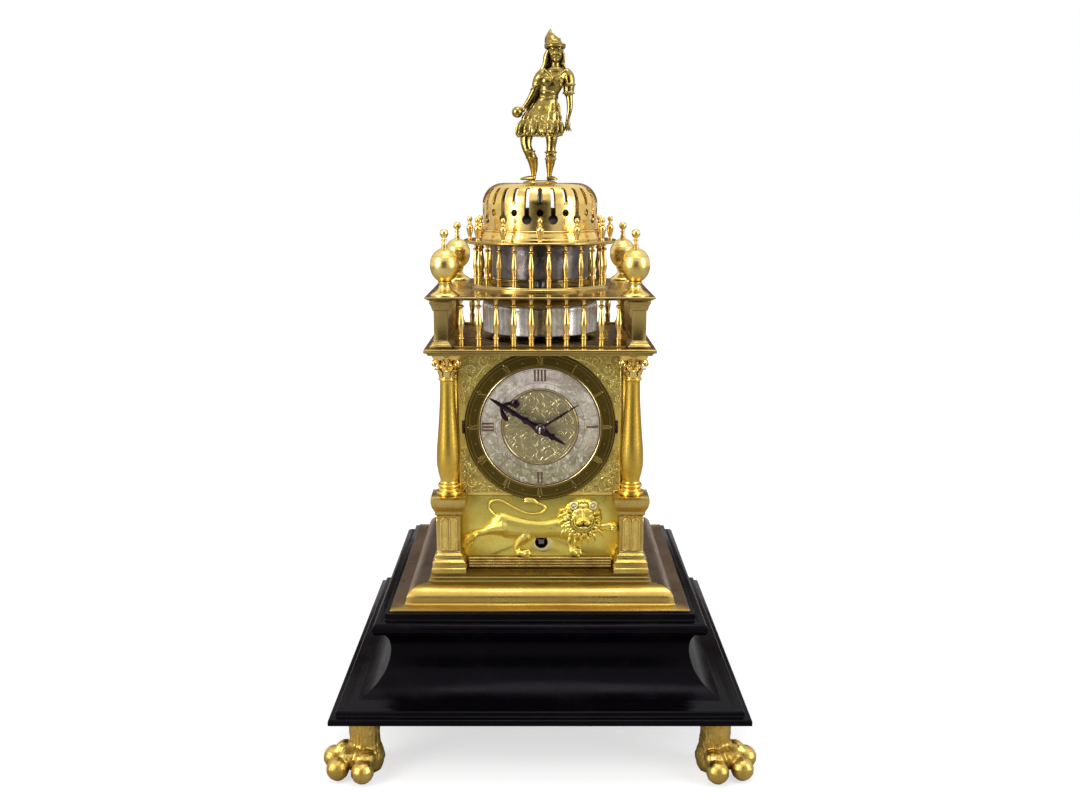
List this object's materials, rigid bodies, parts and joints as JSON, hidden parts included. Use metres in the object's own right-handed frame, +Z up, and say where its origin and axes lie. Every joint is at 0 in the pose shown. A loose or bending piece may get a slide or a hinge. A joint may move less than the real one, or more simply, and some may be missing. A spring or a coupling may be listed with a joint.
{
  "type": "table clock",
  "caption": "Tower table clock on paw feet: columned case, ring dial with hands, lion relief, two bells in galleries, pierced dome, standing figure.",
  "frame": {"origin": "on the floor, below the middle of the clock", "axes": "+Z up, -Y to the front where the dial is, +X to the right seen from the front"},
  "size_m": [0.3002, 0.3002, 0.515],
  "materials": {
    "gilt_brass": "worn fire gilding",
    "engraved_brass": "engraved and gilt",
    "hour_ring_brass": "dark, engraved",
    "silvered_brass": "worn silvering",
    "ebonised_wood": "ebonised, polished",
    "bright_steel": "polished",
    "dark_iron": "dark",
    "dark_steel": "browned",
    "hand_collet_steel": "polished",
    "movement_iron": "filed",
    "movement_brass": "plain",
    "gut": "twisted gut",
    "eye_enamel": "enamelled"
  },
  "bodies": {
    "clock": {"paw_feet": "gilt_brass", "foot_plates": "gilt_brass", "gilt_base": "gilt_brass", "pedestals": "gilt_brass", "columns": "gilt_brass", "capitals": "gilt_brass", "lower_cornice": "gilt_brass", "gallery_sills": "gilt_brass", "gallery_pillars": "gilt_brass", "gallery_balusters": "gilt_brass", "top_plate": "gilt_brass", "ball_finials": "gilt_brass", "ring_base": "gilt_brass", "ring_balusters": "gilt_brass", "ring_plate": "gilt_brass", "ring_finials": "gilt_brass", "dome_ring": "gilt_brass", "pierced_dome": "gilt_brass", "dome_cap": "gilt_brass", "figure": "gilt_brass", "reeded_strip": "gilt_brass", "lion_relief": "gilt_brass", "front_dial_plate": "engraved_brass", "lion_panel": "engraved_brass", "dial_centre": "engraved_brass", "back_plate": "engraved_brass", "hour_ring": "hour_ring_brass", "quarter_ring": "silvered_brass", "plinth": "ebonised_wood", "plinth_top": "ebonised_wood", "lower_bell": "bright_steel", "bell_rod": "bright_steel", "bell_nuts": "bright_steel", "upper_bell": "dark_iron", "dial_pins": "dark_steel", "case_bottom_plate": "movement_iron", "corner_posts": "movement_iron", "front_movement_plate": "movement_iron", "back_movement_plate": "movement_iron", "movement_pillars": "movement_iron", "verge_cocks": "movement_iron", "fusee_line": "gut", "lion_eyes": "eye_enamel"},
    "second_arbor": {"second_arbor": "movement_iron"},
    "great_wheel": {"great_wheel": "movement_iron"},
    "quarter_hand": {"quarter_pipe": "movement_iron", "quarter_hand": "dark_steel"},
    "hour_hand": {"centre_arbor": "movement_iron", "hour_wheel": "movement_iron", "hour_hand": "dark_steel", "hand_collet": "hand_collet_steel"},
    "escape_wheel": {"escape_wheel": "movement_iron"},
    "fusee": {"fusee": "movement_brass"},
    "spring_barrel": {"spring_barrel": "movement_brass"},
    "strike_barrel": {"strike_barrel": "movement_brass"},
    "balance": {"balance": "movement_iron"},
    "lower_hammer": {"lower_hammer": "dark_iron"},
    "upper_hammer": {"upper_hammer": "dark_iron"},
    "side_door_left": {"side_door_left": "engraved_brass"},
    "side_door_right": {"side_door_right": "engraved_brass"}
  },
  "joints": [
    {"name": "second_arbor_turn", "type": "hinge", "parent": "clock", "child": "second_arbor", "pos_m": [0.00342, 0, 0.18823], "axis": [0, 1, 0], "continuous": true},
    {"name": "great_wheel_turn", "type": "hinge", "parent": "clock", "child": "great_wheel", "pos_m": [0.001, 0, 0.1463], "axis": [0, 1, 0], "continuous": true},
    {"name": "quarter_hand_turn", "type": "hinge", "parent": "clock", "child": "quarter_hand", "pos_m": [0, 0, 0.2329], "axis": [0, 1, 0], "continuous": true},
    {"name": "hour_hand_turn", "type": "hinge", "parent": "clock", "child": "hour_hand", "pos_m": [0, 0, 0.2329], "axis": [0, 1, 0], "continuous": true},
    {"name": "escape_wheel_turn", "type": "hinge", "parent": "clock", "child": "escape_wheel", "pos_m": [0.02173, 0, 0.21167], "axis": [0, 1, 0], "continuous": true},
    {"name": "barrel_turn", "type": "hinge", "parent": "clock", "child": "spring_barrel", "pos_m": [-0.0315, 0, 0.1263], "axis": [0, 1, 0], "continuous": true},
    {"name": "winding_turn", "type": "hinge", "parent": "clock", "child": "fusee", "pos_m": [0.001, 0, 0.1463], "axis": [0, 1, 0], "continuous": true},
    {"name": "strike_turn", "type": "hinge", "parent": "clock", "child": "strike_barrel", "pos_m": [0.0335, 0, 0.1263], "axis": [0, 1, 0], "continuous": true},
    {"name": "balance_swing", "type": "hinge", "parent": "clock", "child": "balance", "pos_m": [0.02173, -0.0027, 0.2186], "axis": [0, 0, 1], "range_deg": [-60, 60]},
    {"name": "lower_hammer_swing", "type": "hinge", "parent": "clock", "child": "lower_hammer", "pos_m": [-0.044, 0.044, 0.262], "axis": [0, 0, 1], "range_deg": [0, 18], "stiffness_Nm_per_rad": 0.01, "springref_deg": -5.73},
    {"name": "upper_hammer_swing", "type": "hinge", "parent": "clock", "child": "upper_hammer", "pos_m": [0, 0.046, 0.285], "axis": [0, 0, 1], "range_deg": [0, 14], "stiffness_Nm_per_rad": 0.01, "springref_deg": -5.73},
    {"name": "left_door_swing", "type": "hinge", "parent": "clock", "child": "side_door_left", "pos_m": [-0.0592, 0.05215, 0.20715], "axis": [0, 0, -1], "range_deg": [0, 88]},
    {"name": "right_door_swing", "type": "hinge", "parent": "clock", "child": "side_door_right", "pos_m": [0.0592, 0.05215, 0.20715], "axis": [0, 0, 1], "range_deg": [0, 88]}
  ],
  "couplings": [
    {"joint": "great_wheel_turn", "follows": "second_arbor_turn", "ratio": -0.25},
    {"joint": "quarter_hand_turn", "follows": "second_arbor_turn", "ratio": -3},
    {"joint": "hour_hand_turn", "follows": "second_arbor_turn", "ratio": -0.25},
    {"joint": "escape_wheel_turn", "follows": "second_arbor_turn", "ratio": -4},
    {"joint": "winding_turn", "follows": "barrel_turn", "ratio": 1.282}
  ]
}
